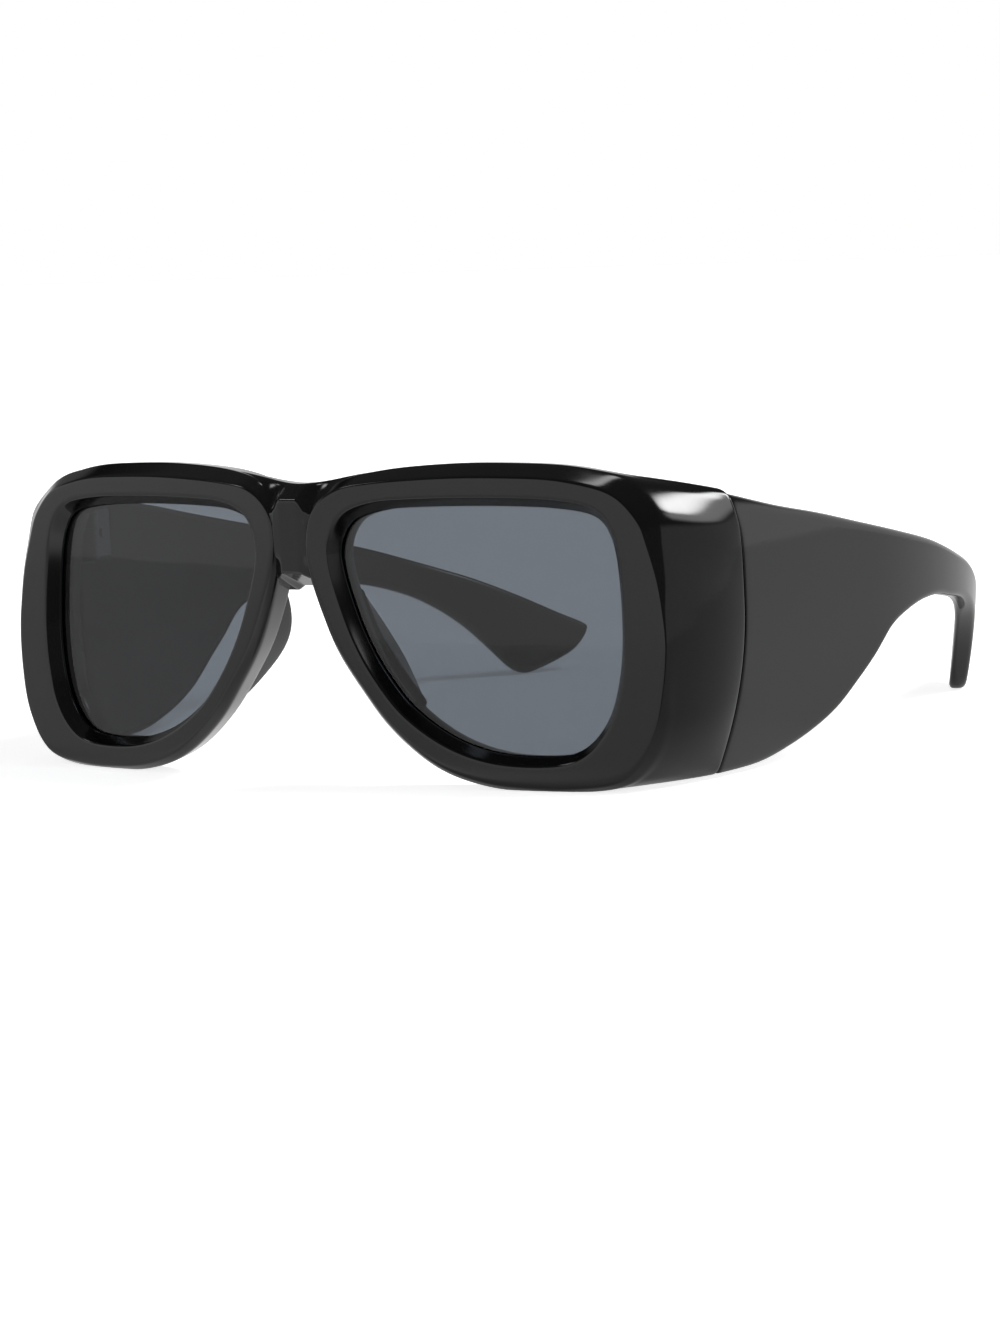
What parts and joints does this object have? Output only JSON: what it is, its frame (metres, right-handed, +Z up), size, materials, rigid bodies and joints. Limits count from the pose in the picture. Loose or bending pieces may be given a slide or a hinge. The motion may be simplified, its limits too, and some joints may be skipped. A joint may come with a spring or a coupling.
{
  "type": "oversized sunglasses",
  "caption": "Oversized wraparound sunglasses with smoke-tinted lenses, wide side shields and temples that fold inwards on metal hinges",
  "frame": {"origin": "on the surface that the open glasses stand on, under the middle of their length and width", "axes": "+X to the wearer's left, +Y from the lenses back along the open temples, +Z up"},
  "size_m": [0.1544, 0.1599, 0.0559],
  "materials": {
    "frame_black": "polished black moulding",
    "lens_smoke": "smoke-tinted, polished both sides",
    "hinge_steel": "plated hinge metal"
  },
  "bodies": {
    "front": {"front_frame": "frame_black", "lens_left": "lens_smoke", "lens_right": "lens_smoke", "nose_pad_left": "frame_black", "nose_pad_right": "frame_black", "hinge_front_leaf_left": "hinge_steel", "hinge_front_leaf_right": "hinge_steel", "hinge_screw_left": "hinge_steel", "hinge_screw_right": "hinge_steel", "front_rivets_left": "hinge_steel", "front_rivets_right": "hinge_steel"},
    "left_temple": {"temple_left": "frame_black", "hinge_temple_leaf_left": "hinge_steel", "temple_rivets_left": "hinge_steel"},
    "right_temple": {"temple_right": "frame_black", "hinge_temple_leaf_right": "hinge_steel", "temple_rivets_right": "hinge_steel"}
  },
  "joints": [
    {"name": "left_temple_fold", "type": "hinge", "parent": "front", "child": "left_temple", "pos_m": [0.0681, -0.05385, 0.0404], "axis": [0, 0, 1], "range_deg": [0, 84]},
    {"name": "right_temple_fold", "type": "hinge", "parent": "front", "child": "right_temple", "pos_m": [-0.0681, -0.05385, 0.0404], "axis": [0, 0, -1], "range_deg": [0, 74]}
  ]
}
